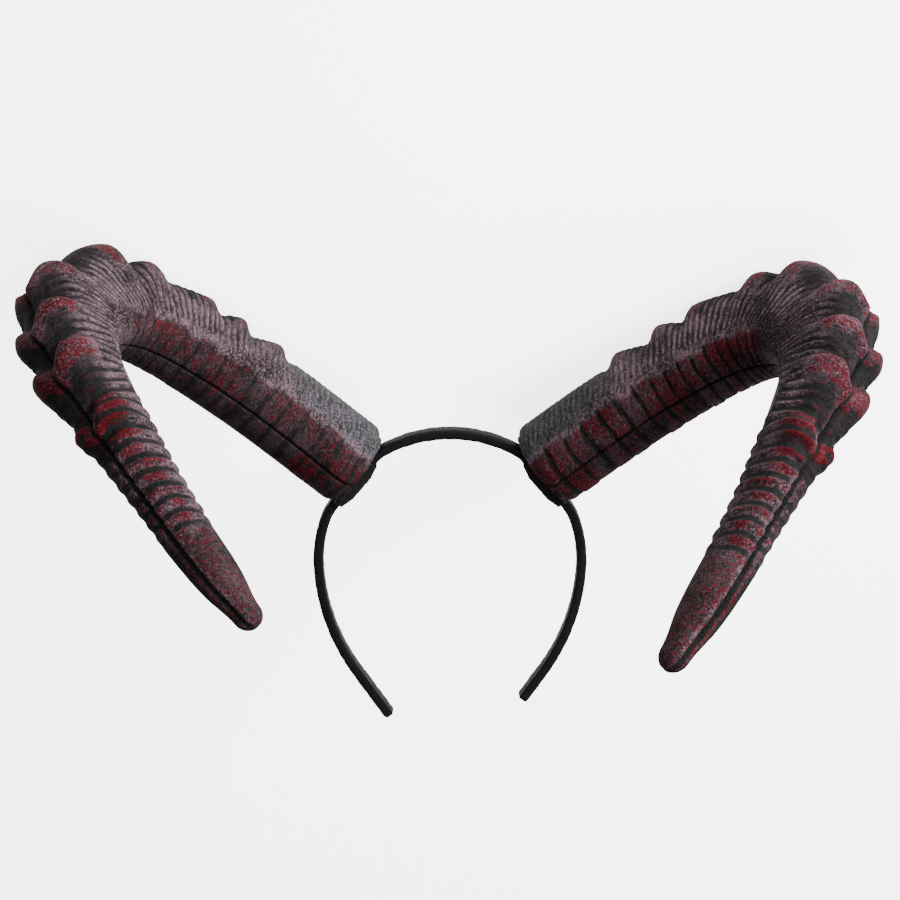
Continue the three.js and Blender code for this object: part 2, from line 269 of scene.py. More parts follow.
def ring_parts(along, degrees):
    on_point = ease(along, *RIBS_FROM)
    sway = RING_SWAY["broad"] * np.sin(along / 7.3 + degrees / 21)
    sway += RING_SWAY["fine"] * np.sin(degrees / 9 - along / 5)
    sway *= 1 - RING_SWAY["lost_on_point"] * ease(along, *RING_SWAY["along"])
    turns = ring_turns(along - ring_lean(along, degrees)) + sway
    wave = 0.5 + 0.5 * np.cos(2 * math.pi * (turns + 0.06 * np.sin(2 * math.pi * turns)))
    brushed = 0.5 + 0.5 * np.cos(2 * math.pi * (turns - BRUSH_LAG * on_point))
    starts, full, ends = [leg + (point - leg) * on_point for leg, point in zip(*RING_ROUND.values())]
    ends = ends + HAIRPIN_RINGS["further"] * window(along, *HAIRPIN_RINGS["along"])
    around = window(degrees, starts, full, ends - RING_FADE, ends)
    patchy = 0.75 + 0.25 * np.sin(along / 4.1 - degrees / 7) * np.sin(along / 9.7 + degrees / 15)
    height = np.interp(along, RING_HEIGHT["along"], RING_HEIGHT["height"]) * around
    return wave, brushed, height * (patchy + (1 - patchy) * on_point)


print(round(ring_turns(314) - ring_turns(60)), "rings from the leg to the last rib of the point")

# %% Pads
PAD_CRESTS = (-4, 9, 22, 32, 44, 54, 65, 75, 84, 92, 100, 108, 117, 125, 133, 141, 149, 157, 165)
PAD_EDGE = {"degrees": 126, "uneven": 4, "wider": 6, "wider_along": (90, 130), "fade": 12}
PADS_END = (150, 172)
PAD_HEIGHT = 0.8
PAD_STRENGTH = {"left": 0.4, "right": 1.0}


def pad_parts(along, degrees):
    turns = np.interp(along, PAD_CRESTS, np.arange(len(PAD_CRESTS)))
    lean = 0.05 * np.sin(along / 11 + degrees / 9)
    wave = ease(0.5 + 0.5 * np.cos(2 * math.pi * (turns + lean)), 0.0, 0.28)
    edge = PAD_EDGE["degrees"] + PAD_EDGE["uneven"] * np.sin(2.4 * np.rint(turns))
    edge -= PAD_EDGE["wider"] * ease(along, *PAD_EDGE["wider_along"])
    inner = ease(degrees, edge, edge + PAD_EDGE["fade"])
    return wave, inner * (1 - ease(along, *PADS_END))


print(len(PAD_CRESTS), "pads on the inner face of each half")

# %% [markdown]
# ## The relief put together
# The height of a half is the sum of its knuckles, rings and pads, a little unevenness, and the dip that
# the seam makes at both edges. The back halves have lower ribs and knuckles, as their edges show beside
# the front halves. The shares are passed on, because the paint follows them.

# %% Relief of a half
POINT = (225, 262)
TIP = (318, 330)
SEAM = {"depth": 1.6, "outer_width": 1.8, "inner_width": 0.8, "full_across": 10}
DOME_RINGS = {"loss": 0.9, "height": (1.2, 3.2), "along": (236, 262)}
BACK_LOSS = {"ribs": 0.6, "knuckles": 0.3, "knuckles_along": (140, 200)}
LUMP_HEIGHT = 0.3
TIP_SWELL = {"height": 0.6, "along": (312, 322, 338, 372)}
unevenness = np.random.default_rng(5).uniform(-1, 1, (7, 4))


def lumps(along, degrees):
    total = np.zeros_like(along)
    for pace, lean, start, size in unevenness:
        swing = np.sin(along / (14 + 6 * pace) + degrees / (26 + 9 * lean) + 3 * start)
        total += swing * (0.6 + 0.4 * size)
    return total / len(unevenness)


def moulded(side, along, degrees, up, front):
    knuckle, dome_rim, shaded_dome_face, dome_foot = knuckle_parts(side, along, degrees)
    ring, brushed, ring_height = ring_parts(along, degrees)
    on_dome = ease(knuckle, *DOME_RINGS["height"]) * (1 - ease(along, *DOME_RINGS["along"]))
    ring_height = ring_height * (1 - DOME_RINGS["loss"] * on_dome)
    pad, inner = pad_parts(along, degrees)
    point, tip = ease(along, *POINT), ease(along, *TIP)
    seam_width = np.where(degrees < 90, SEAM["outer_width"], SEAM["inner_width"])
    seam = (1 - ease(up, 0, seam_width)) * np.minimum(1, sizes_at(along)[2] / SEAM["full_across"])
    if not front:
        ring_height = ring_height * (1 - BACK_LOSS["ribs"] * point)
        knuckle = knuckle * (1 - BACK_LOSS["knuckles"] * ease(along, *BACK_LOSS["knuckles_along"]))
    uneven = lumps(along, degrees)
    height = knuckle + ring * ring_height + PAD_HEIGHT * PAD_STRENGTH[side] * pad * inner
    height += LUMP_HEIGHT * uneven - SEAM["depth"] * seam
    height += TIP_SWELL["height"] * window(along, *TIP_SWELL["along"])
    shares = {"dome_rim": dome_rim, "shaded_dome_face": shaded_dome_face, "dome_foot": dome_foot, "ring": ring,
              "brushed": brushed, "ring_height": ring_height, "pad": pad, "inner": inner, "seam": seam,
              "uneven": uneven, "point": point, "tip": tip}
    return height, shares


print("the seam dips", SEAM["depth"], "mm, and lumps stand up to", LUMP_HEIGHT, "mm")

# %% [markdown]
# ## Paint that follows the relief
# Red was dry-brushed over the high places, and a black wash lies in the low ones and over the inner face.
# A noise alone could not find those places. Because the paint follows the moulded shape, its masks are
# worked out with the shape and kept on the vertices: how much red, how much wash and painted shade, and how
# much bare grey foam, which shows near the foot. The back halves got less red. The same dark colour is also
# painted shade: all over the back halves, and on the face that falls from each knuckle crest to the tip.
# A strip along the outer seam of the point takes less of it, as a painted sheen.

# %% Dark grooves
# Of these, the dome faces and back entries are painted shade (less of it on the back's inner side), and the
# lip entry, below zero, is a painted sheen.
WASH_AND_SHADE = {"rings": 0.9, "pads": 0.85, "dome_feet": 0.25, "shade_on_dome_faces": 0.9, "inner": 0.86, "inner_less": 0.32,
        "tip": 0.75, "point": 0.3, "lip": -0.5, "bare": 0.45, "back": 0.4, "back_inner_less_shade": -0.3}


def groove_share(shares, along, degrees, strength):
    broken = 0.65 + 0.35 * np.sin(along / 4.7 + degrees / 6) * np.sin(degrees / 8 - along / 13)
    deep = np.clip(shares["ring_height"] / 0.7, 0, 1)
    between_rings = WASH_AND_SHADE["rings"] * (1 - ease(shares["brushed"], 0.08, 0.7)) * deep
    between_rings = between_rings * (1 - 0.55 * ease(degrees, 105, 150))
    between_pads = WASH_AND_SHADE["pads"] * strength * broken * (1 - shares["pad"]) * shares["inner"]
    return np.maximum(np.maximum(between_rings, between_pads), shares["seam"])


# The value on the dome faces is painted shade.
print("the wash is", WASH_AND_SHADE["rings"], "of full between the ribs and", WASH_AND_SHADE["shade_on_dome_faces"], "on the dome faces")

# %% Brushed red
RED = {"domes": 0.95, "ribs": 0.95, "rings": 0.3, "corner": 0.25, "lumps": 0.15, "pads_strong": 0.32,
       "lost_in_grooves": 0.85, "full": 1.4}
COATS = {"front": {"pads": 1.0, "ribs": 1.0, "tip": 0.68},
         "back": {"pads": 0.72, "ribs": 0.45, "tip": 0.35}}


def red_share(shares, along, degrees, strength, coat):
    rib = ease(shares["brushed"], 0.1, 0.6) * shares["point"] * (1 - shares["tip"])
    rib = rib * window(degrees, -20, 10, 60, 112)
    rib = rib * (0.8 + 0.3 * np.sin(along / 5.3) * np.sin(degrees / 17 + along / 9))
    corner = window(degrees, 108, 120, 140, 165) * window(along, 100, 125, 160, 190)
    pad = 0.52 + 0.08 * np.sin(along / 6.1) + 0.1 * np.sin(along / 15 + degrees / 12)
    pad = (pad + RED["pads_strong"] * strength) * coat["pads"]
    red = pad * shares["inner"] + RED["domes"] * shares["dome_rim"] + RED["ribs"] * coat["ribs"] * rib
    red += RED["corner"] * strength * corner + coat["tip"] * shares["tip"]
    red += RED["rings"] * np.clip(shares["ring_height"], 0, 1) * shares["ring"]
    return red + RED["lumps"] * shares["uneven"]


print("the back ribs carry", COATS["back"]["ribs"], "of the red of the front ribs")

# %% Paint of a half
BARE = {"along": (62, 92), "slant": 0.25, "degrees": (118, 130)}
# On the point, a strip along the outer seam takes less wash, which is a painted sheen, and on the back
# halves it also takes red.
SEAM_LIP_SHEEN_AND_RED = {"up": (0.9, 1.8, 2.6, 4.2), "degrees": (20, 40), "red": 0.5}
BACK_DAB = {"red": 0.5, "degrees": (120, 128), "along": (14, 18, 28, 32)}


def painted(side, along, degrees, up, front, shares):
    strength = PAD_STRENGTH[side]
    groove = groove_share(shares, along, degrees, strength)
    red = red_share(shares, along, degrees, strength, COATS["front" if front else "back"])
    lip = window(up, *SEAM_LIP_SHEEN_AND_RED["up"]) * shares["point"] * (1 - ease(degrees, *SEAM_LIP_SHEEN_AND_RED["degrees"]))
    bare = 1 - ease(along + BARE["slant"] * degrees, *BARE["along"])
    bare = bare * (1 - ease(degrees, *BARE["degrees"]))
    wash_and_shade = np.maximum(groove, WASH_AND_SHADE["dome_feet"] * shares["dome_foot"])
    # Painted shade on the face that falls from each knuckle crest to the tip.
    wash_and_shade += WASH_AND_SHADE["shade_on_dome_faces"] * shares["shaded_dome_face"]
    wash_and_shade += (WASH_AND_SHADE["inner"] - WASH_AND_SHADE["inner_less"] * strength) * shares["inner"]
    wash_and_shade += WASH_AND_SHADE["tip"] * shares["tip"] + WASH_AND_SHADE["point"] * shares["point"] * (1 - shares["tip"])
    # The lip entry is below zero: a painted sheen along the seam of the point.
    wash_and_shade += WASH_AND_SHADE["lip"] * lip + WASH_AND_SHADE["bare"] * (strength - PAD_STRENGTH["left"]) * bare
    if not front:
        red += BACK_DAB["red"] * ease(degrees, *BACK_DAB["degrees"]) * window(along, *BACK_DAB["along"])
        red += SEAM_LIP_SHEEN_AND_RED["red"] * lip
        # Painted shade: the back half is darkened all over, less on its inner side.
        wash_and_shade += WASH_AND_SHADE["back"] + WASH_AND_SHADE["back_inner_less_shade"] * ease(degrees, 80, 120)
    red = np.clip(red * (1 - RED["lost_in_grooves"] * groove), 0, RED["full"])
    return {"red": red, "wash_and_shade": np.clip(wash_and_shade, 0, 1), "bare": bare}


print("bare foam ends", BARE["along"][1], "mm from the foot at the latest")

# %% [markdown]
# ## Placing a horn
# Each horn is turned out from the band, rolled forward and spun a little in its own plane. The right horn
# and the back halves are mirror images, so one matrix with a sign for each does for all four halves.

# %% Horn placing on the band
HORN_PLACES = {"left": {"foot": (-47.8, -16.2, 0.0), "heading": 50.6, "roll": 11.8, "spin": 0.5},
               "right": {"foot": (42.4, -19.6, 0.4), "heading": 50.9, "roll": 13.4, "spin": 5.2}}


def horn_matrix(side, front):
    place = HORN_PLACES[side]
    sense = 1 if side == "left" else -1
    stand = Matrix.Translation(place["foot"]) @ turn("Z", sense * (place["heading"] + 90))
    stand = stand @ turn("X", 90 - place["roll"]) @ turn("Z", sense * place["spin"])
    return worn_to_lying @ stand @ Matrix.Diagonal((sense, 1, 1 if front else -1, 1))


for side in HORN_PLACES:
    foot_height = horn_matrix(side, True).translation.z
    print(side, "foot is centred", round(foot_height * 1000, 1), "mm above the floor")

# %% [markdown]
# ## The band's course
# The hair band is a narrow spring strip in a satin sleeve. From the crown it runs out each way in stretches
# of even bend, with a straight stretch under each horn. A drawn curve would hide those bends, so they are a
# table. The same course gives the seat planes, so it is worked out before the horns are cut.

# %% Course of the band
BAND = {"width": 8.8, "thickness": 5.2, "seat_gap": 0.3}
SEAT_LEVEL = BAND["thickness"] / 2 + BAND["seat_gap"]
#             name             length  turn
STRETCHES = (("crown", 34.0, 29),
             ("upper shoulder", 7.5, 21),
             ("seat", 30.0, 0),
             ("lower shoulder", 10.0, 20),
             ("side", 25.5, 22),
             ("arm", 62.0, 32))
END_LENGTH = {"left": 28, "right": 17}
COURSE_POINTS = 1200


def course_of(side):
    marks, turns = [0.0], [0.0]
    for _, length, bend in STRETCHES + (("end", END_LENGTH[side], 0),):
        marks.append(marks[-1] + length)
        turns.append(turns[-1] + bend)
    steps = np.linspace(0, marks[-1], COURSE_POINTS)
    headings = np.radians(np.interp(steps, marks, turns))
    mids = (headings[1:] + headings[:-1]) / 2
    x = np.concatenate(([0], np.cumsum(np.diff(steps) * np.cos(mids))))
    y = np.concatenate(([0], -np.cumsum(np.diff(steps) * np.sin(mids))))
    return steps, x * (-1 if side == "left" else 1), y, headings


def seat_matrix(side):
    steps, x, y, headings = course_of(side)
    middle = sum(length for _, length, _ in STRETCHES[:2]) + STRETCHES[2][1] / 2
    place = (np.interp(middle, steps, x), np.interp(middle, steps, y), 0)
    sense = 1 if side == "left" else -1
    return Matrix.Translation(place) @ turn("Z", sense * math.degrees(np.interp(middle, steps, headings)))


for side in ("left", "right"):
    print(side, "seat at", [round(v, 1) for v in seat_matrix(side).translation])

# %% [markdown]
# ## Modelling a half
# A half is a C-shaped tube: the moulded outside, the flat parting face, and the hollow. It starts as one
# flat grid. The rows of the grid become stations along the horn and its columns go once round the C, so
# one grid makes the whole skin. Where the horn is not hollow, at the foot and in the point, the inner
# columns lie flat in the parting face, a little inside its edge. The edge of the foot is rounded over.

# %% Grid rows and columns
ROW_STEP = 0.65
OUTER_COLUMNS = 90
HOLLOW_COLUMNS = 13
EVEN_AT = 40


def even_degrees(count):
    fine = np.linspace(0, 180, 4001)
    out, up = section_point(np.full_like(fine, EVEN_AT), fine)
    length = np.concatenate(([0], np.cumsum(np.hypot(np.diff(out), np.diff(up)))))
    return np.interp(np.linspace(0, length[-1], count + 1), length, fine)


print("columns on the outside are", round(even_degrees(OUTER_COLUMNS)[1], 2), "degrees apart at the seam")

# %% Surface of a half
FOOT_EDGE = 6
FOOT_ROUNDED = 0.9
HOLLOW = {"from": 9, "opened": 16, "closing": 284, "to": 300}
FLAT_SHARE = 0.8
HALF_ROUND = 0.066


def foot_rounding(side, front, places):
    to_seat = (worn_to_lying @ seat_matrix(side)).inverted() @ horn_matrix(side, front)
    above = places @ np.array(to_seat)[1, :3] + to_seat[1][3] - SEAT_LEVEL
    short = np.clip(FOOT_EDGE - above, 0, FOOT_ROUNDED * FOOT_EDGE)
    return FOOT_EDGE - np.sqrt(FOOT_EDGE ** 2 - short ** 2)


def half_surface(side, rows, columns, front):
    outer = even_degrees(OUTER_COLUMNS)
    inner = np.linspace(0, 180, HOLLOW_COLUMNS + 1)
    degrees = np.concatenate((outer[::-1], inner, outer[-1:]))[columns]
    first, last = SECTIONS[0][0], TIP_DOME["from"] + TIP_DOME["length"]
    along = first + (last - first) * rows / rows.max()
    out, up = section_point(along, degrees)
    height, shares = moulded(side, along, degrees, up, front)
    paint = painted(side, along, degrees, up, front, shares)
    length = np.maximum(np.hypot(out, up), 1e-6)
    stretch = (length + height * ease(length, 0, 3)) / length
    hollow = (columns > OUTER_COLUMNS) & (columns < columns.max())
    open_share = window(along, HOLLOW["from"], HOLLOW["opened"], HOLLOW["closing"], HOLLOW["to"])
    hollow_out, hollow_up = section_point(along, degrees, WALL)
    flat_out = FLAT_SHARE * out
    out = np.where(hollow, flat_out + (hollow_out - flat_out) * open_share, out * stretch)
    up = np.where(hollow, hollow_up * open_share, up * stretch)
    heading = heading_at(BENDS[side], along)
    x, y = centre_at(BENDS[side], along)
    places = np.stack((x + out * np.sin(heading), y - out * np.cos(heading), HALF_GAP + up), -1)
    kept = 1 - foot_rounding(side, front, places) / np.maximum(length, 1)
    out, up = out * kept, up * kept
    places = np.stack((x + out * np.sin(heading), y - out * np.cos(heading), HALF_GAP + up), -1)
    along_rings = (along - ring_lean(along, degrees)) * MM
    skin = np.stack((along_rings, degrees / 180 * HALF_ROUND, np.zeros_like(along)), -1)
    return places, paint, skin


print("the horn is hollow from", HOLLOW["from"], "to", HOLLOW["to"], "mm along")

# %% [markdown]
# ## Making the four halves
# The masks go onto the vertices as layers before anything is merged or cut, so that the cuts carry them.
# With them goes the place on the skin in metres, along the horn (following the rings) and around it. Foam
# gives where it lies, so no vertex goes below a hair above the floor. Merging doubles closes the tube and
# the tip, a plane cuts the foot square on its seat, and one face closes the cut.

# %% Helpers for meshes
FLOOR_GAP = 0.0001
MERGE = 2e-6


def finished_object(name, bm):
    bmesh.ops.recalc_face_normals(bm, faces=bm.faces)
    mesh = bpy.data.meshes.new(name)
    bm.to_mesh(mesh)
    bm.free()
    mesh.shade_smooth()
    piece = bpy.data.objects.new(name, mesh)
    bpy.context.scene.collection.objects.link(piece)
    mesh.calc_loop_triangles()
    print(name, len(mesh.vertices), "vertices", len(mesh.loop_triangles), "triangles")
    return piece


def set_layers(bm, places, matrix, shares, skin):
    layers = {name: bm.verts.layers.float.new(name) for name in shares}
    skin_layer = bm.verts.layers.float_vector.new("skin")
    turned = places @ np.array(matrix.to_3x3()).T + np.array(matrix.translation)
    turned[:, 2] = np.maximum(turned[:, 2], FLOOR_GAP)
    for number, vert in enumerate(bm.verts):
        vert.co = turned[number]
        vert[skin_layer] = skin[number]
        for name, layer in layers.items():
            vert[layer] = shares[name][number]


def grid_of(rows, columns):
    bm = bmesh.new()
    bmesh.ops.create_grid(bm, x_segments=rows, y_segments=columns, size=0.5)
    flat = np.array([vert.co[:2] for vert in bm.verts]) + 0.5
    return bm, np.rint(flat[:, 0] * rows).astype(int), np.rint(flat[:, 1] * columns).astype(int)


# %% Foam halves


def foam_half(side, front):
    rows = round((TIP_DOME["from"] + TIP_DOME["length"] - SECTIONS[0][0]) / ROW_STEP)
    bm, row, column = grid_of(rows, OUTER_COLUMNS + HOLLOW_COLUMNS + 2)
    places, paint, skin = half_surface(side, row, column, front)
    set_layers(bm, places, horn_matrix(side, front), paint, skin)
    bmesh.ops.remove_doubles(bm, verts=bm.verts, dist=MERGE)
    seat = worn_to_lying @ seat_matrix(side)
    geom = list(bm.verts) + list(bm.edges) + list(bm.faces)
    bmesh.ops.bisect_plane(bm, geom=geom, dist=MERGE / 2, plane_co=seat @ Vector((0, SEAT_LEVEL, 0)),
                           plane_no=seat.to_3x3() @ Vector((0, 1, 0)), clear_inner=True)
    rim = [edge for edge in bm.edges if edge.is_boundary]
    bmesh.ops.edgeloop_fill(bm, edges=rim)
    return finished_object(f"foam_{side}_{'front' if front else 'back'}", bm)


halves = {}
for side in ("left", "right"):
    for front in (True, False):
        halves[side, front] = foam_half(side, front)

# %% [markdown]
# ## The satin band
# The sleeve is a closed tube swept along the course, again from one grid. Satin on a narrow strip is never
# quite smooth, so the tube has shallow gathers, most of them where it bends and at the drawn-in ends, and
# a sewn ridge along the head side. A cloth simulation would add nothing to a sleeve that lies this tight.

# %% Band sleeve
SLEEVE = {"step": 1.0, "columns": 28, "end": 2.5, "squareness": 4.5, "round": 0.024}
STRIP = {"half_thick": 2.1, "half_wide": 4.2}
GATHERS = {"long": 0.07, "short": 0.05, "pleats": 0.16, "pleat_count": 6, "pleats_from": (150, 178)}
RIDGE = {"height": 0.22, "beside": 0.4, "width": 0.5}


def sleeve_section(degrees):
    wide, thick, power = BAND["width"] / 2, BAND["thickness"] / 2, 2 / SLEEVE["squareness"]
    cos, sin = np.cos(np.radians(degrees)), np.sin(np.radians(degrees))
    return np.sign(cos) * np.abs(cos) ** power * thick, np.sign(sin) * np.abs(sin) ** power * wide


def whole_course(at):
    left, right = course_of("left"), course_of("right")
    marks = np.concatenate((-left[0][:0:-1], right[0]))
    held = np.clip(at, marks[0], marks[-1])
    x, y = [np.interp(held, marks, np.concatenate((left[k][:0:-1], right[k]))) for k in (1, 2)]
    heading = np.interp(held, marks, np.concatenate((-left[3][:0:-1], right[3])))
    run = at - held
    return x + run * np.cos(heading), y - run * np.sin(heading), heading, np.abs(run)


def band_surface(at, degrees):
    x, y, heading, beyond = whole_course(at)
    out, front = sleeve_section(degrees)
    share = np.sqrt(1 - np.clip(beyond / SLEEVE["end"], 0, 1) ** 2)
    gathers = GATHERS["long"] * np.sin(at / 1.9 + front) * np.sin(at / 13)
    gathers += GATHERS["short"] * np.sin(at / 0.9 + 2 * front)
    pleats = np.sin(np.radians(GATHERS["pleat_count"] * degrees))
    gathers += GATHERS["pleats"] * pleats * ease(np.abs(at), *GATHERS["pleats_from"])
    ridge = RIDGE["height"] * np.exp(-((front - RIDGE["beside"]) / RIDGE["width"]) ** 2) * (out < 0)
    out = (out * (1 + gathers / STRIP["half_thick"]) - ridge) * share
    front = front * (1 + gathers / STRIP["half_wide"]) * share
    places = np.stack((x + out * np.sin(heading), y + out * np.cos(heading), front), -1)
    skin = np.stack((at * MM, degrees / 360 * SLEEVE["round"], np.zeros_like(at)), -1)
    return places, skin


def satin_band():
    reach = {side: course_of(side)[0][-1] for side in ("left", "right")}
    length = reach["left"] + reach["right"] + 2 * SLEEVE["end"]
    rows = round(length / SLEEVE["step"])
    bm, row, column = grid_of(rows, SLEEVE["columns"])
    at = -reach["left"] - SLEEVE["end"] + length * row / rows
    places, skin = band_surface(at, 360 * column / SLEEVE["columns"])
    set_layers(bm, places, worn_to_lying, {}, skin)
    bmesh.ops.remove_doubles(bm, verts=bm.verts, dist=MERGE)
    return finished_object("satin_band", bm)


band = satin_band()

# %% [markdown]
# ## The felt patches
# A strip of felt holds each horn: it passes under the band and its two ends are glued flat to the foot of
# the horn. A sheet with rounded corners is cut into narrow rows, bent over the band and thickened, so its
# flat size stays known. Under the band the felt is pressed thin towards its ends.

# %% Felt patch
PATCH = {"length": 27, "corner": 5, "felt": 1.5, "reach": 13, "bend": 1, "taper": 7, "thinned": 0.7,
         "row": 0.8}


def patch_course():
    inside = BAND["width"] / 2 + BAND["seat_gap"] + PATCH["felt"] / 2
    top = BAND["thickness"] / 2 - PATCH["felt"] / 2
    under = -SEAT_LEVEL - PATCH["felt"] / 2
    bend, nick = PATCH["bend"], 0.3 * PATCH["bend"]
    half = [(0, under), (inside - bend, under), (inside - nick, under + nick), (inside, under + bend)]
    half += [(inside, top - bend), (inside + nick, top - nick), (inside + bend, top), (PATCH["reach"], top)]
    across = np.array([(-z, y) for z, y in half[:0:-1]] + half)
    run = np.concatenate(([0], np.cumsum(np.hypot(*np.diff(across, axis=0).T))))
    return run - run[-1] / 2, across


def flat_patch(width):
    bm = bmesh.new()
    bmesh.ops.create_grid(bm, x_segments=1, y_segments=1, size=0.5)
    bmesh.ops.scale(bm, verts=bm.verts, vec=(PATCH["length"], width, 1))
    bmesh.ops.bevel(bm, geom=list(bm.verts), offset=PATCH["corner"], segments=8, profile=0.5,
                    affect="VERTICES", material=-1)
    for axis, size in ((Vector((0, 1, 0)), width), (Vector((1, 0, 0)), PATCH["length"])):
        for cut in np.arange(-size / 2, size / 2, PATCH["row"])[1:]:
            geom = list(bm.verts) + list(bm.edges) + list(bm.faces)
            bmesh.ops.bisect_plane(bm, geom=geom, dist=1e-4, plane_co=axis * cut, plane_no=axis)
    return bm


def felt_patch(side):
    run, across = patch_course()
    width = run[-1] * 2
    bm = flat_patch(width)
    area = sum(face.calc_area() for face in bm.faces)
    for vert in bm.verts:
        x, v = vert.co.x, vert.co.y
        y, z = np.interp(v, run, across[:, 1]), np.interp(v, run, across[:, 0])
        fuzz = 0.06 * math.sin(1.7 * x + 0.9 * v) + 0.05 * math.sin(2.3 * v - 1.1 * x)
        vert.co = (x, y + fuzz, z)
    bmesh.ops.recalc_face_normals(bm, faces=bm.faces)
    bmesh.ops.solidify(bm, geom=list(bm.faces), thickness=PATCH["felt"])
    for vert in bm.verts:
        if vert.co.y < -SEAT_LEVEL:
            near_end = ease(abs(vert.co.x), PATCH["length"] / 2 - PATCH["taper"], PATCH["length"] / 2)
            vert.co.y = (vert.co.y + SEAT_LEVEL) * (1 - PATCH["thinned"] * near_end) - SEAT_LEVEL
    bmesh.ops.transform(bm, matrix=worn_to_lying @ seat_matrix(side), verts=bm.verts)
    return finished_object(f"felt_patch_{side}", bm), width, area


patches = {side: felt_patch(side) for side in ("left", "right")}

# %% [markdown]
# ## Shader arithmetic
# A finish is a small sum of masks and noises. Wiring it by hand takes dozens of lines that hide the sum.
# The class below wraps a node socket, so that a mask can be written as ordinary arithmetic: each operator
# adds a Math node, and any other node is made by one method.

# %% A socket that can be calculated with


class Wire:
    def __init__(self, tree, socket=None):
        self.tree = tree
        self.socket = socket

    def node(self, kind, settings, inputs, output=0):
        made = self.tree.nodes.new(kind)
        for name, value in settings.items():
            setattr(made, name, value)
        for name, value in inputs.items():
            if isinstance(value, Wire):
                self.tree.links.new(value.socket, made.inputs[name])
            else:
                made.inputs[name].default_value = value
        return Wire(self.tree, made.outputs[output])

    def math(self, operation, *values):
        return self.node("ShaderNodeMath", {"operation": operation}, dict(enumerate(values)))

    def __add__(self, other):
        return self.math("ADD", self, other)

    def __radd__(self, other):
        return self.math("ADD", other, self)

    def __sub__(self, other):
        return self.math("SUBTRACT", self, other)

    def __rsub__(self, other):
        return self.math("SUBTRACT", other, self)

    def __mul__(self, other):
        return self.math("MULTIPLY", self, other)

    def __rmul__(self, other):
        return self.math("MULTIPLY", other, self)

    def step(self, low, high):
        inputs = {"Value": self, "From Min": low, "From Max": high}
        return self.node("ShaderNodeMapRange", {"interpolation_type": "SMOOTHSTEP"}, inputs)

    def mix(self, below, above):
        return self.node("ShaderNodeMix", {"data_type": "RGBA"}, {0: self, 6: below, 7: above}, 2)

    def noise(self, place, scale, detail, roughness):
        inputs = {"Vector": place, "Scale": scale, "Detail": detail, "Roughness": roughness}
        return self.node("ShaderNodeTexNoise", {}, inputs)

    def bump(self, height, strength, distance):
        inputs = {"Strength": strength, "Distance": distance, "Height": height}
        return self.node("ShaderNodeBump", {}, inputs)

    def object_place(self):
        return self.node("ShaderNodeTexCoord", {}, {}, "Object")

    def skin_place(self):
        return self.node("ShaderNodeAttribute", {"attribute_name": "skin"}, {}, "Vector")

    def mask(self, name):
        return self.node("ShaderNodeAttribute", {"attribute_name": name}, {}, "Fac")


# %% Starting a finish


def colour(code):
    parts = [int(code[k:k + 2], 16) / 255 for k in (1, 3, 5)]
    return tuple(p / 12.92 if p <= 0.04045 else ((p + 0.055) / 1.055) ** 2.4 for p in parts) + (1.0,)


def new_finish(name, shine):
    material = bpy.data.materials.new(name)
    material.use_nodes = True
    shader = material.node_tree.nodes["Principled BSDF"]
    shader.inputs["Specular IOR Level"].default_value = shine
    return material, Wire(material.node_tree), shader


def connect(wire, shader, **links):
    for name, value in links.items():
        wire.tree.links.new(value.socket, shader.inputs[name.replace("_", " ")])


print("a middle grey is", round(colour("#808080")[0], 3), "in the linear light that shaders use")

# %% [markdown]
# ## Painted foam
# The foam is charcoal with a purple-grey bloom, and its skin is full of tiny pores; pale specks on them are
# painted glints, the light the pores would catch. Near the foot it is bare grey. Dark green-black sits in
# the grooves and in fine creases that run around the horn. The red is dry-brushed: it takes only where the
# mask is strong or the grain stands up, so it breaks into specks at its edges. A painted picture could give
# the same marks, but the noises are sharp at any distance and need no unwrapping.

# %% Foam finish
FOAM = {"charcoal": "#090708", "bloom": "#46383e", "bare_dark": "#141415", "bare": "#343336",
        "wash_and_shade": "#060807", "red": "#1d0204", "bright": "#35040a", "painted_glint": "#5f575b"}
#              name    scale  detail  roughness
FOAM_NOISE = {"grain": (1500, 3, 0.6),
              "pores": (850, 4, 0.7),
              "blotch": (60, 3, 0.55),
              "brush": (800, 4, 0.7)}
CREASES = {"noise": (700, 3, 0.6), "drawn_out": (1.0, 0.28, 1.0), "turned": (0.6, 0.4, 0.5)}
FOAM_SHINE = 0.015


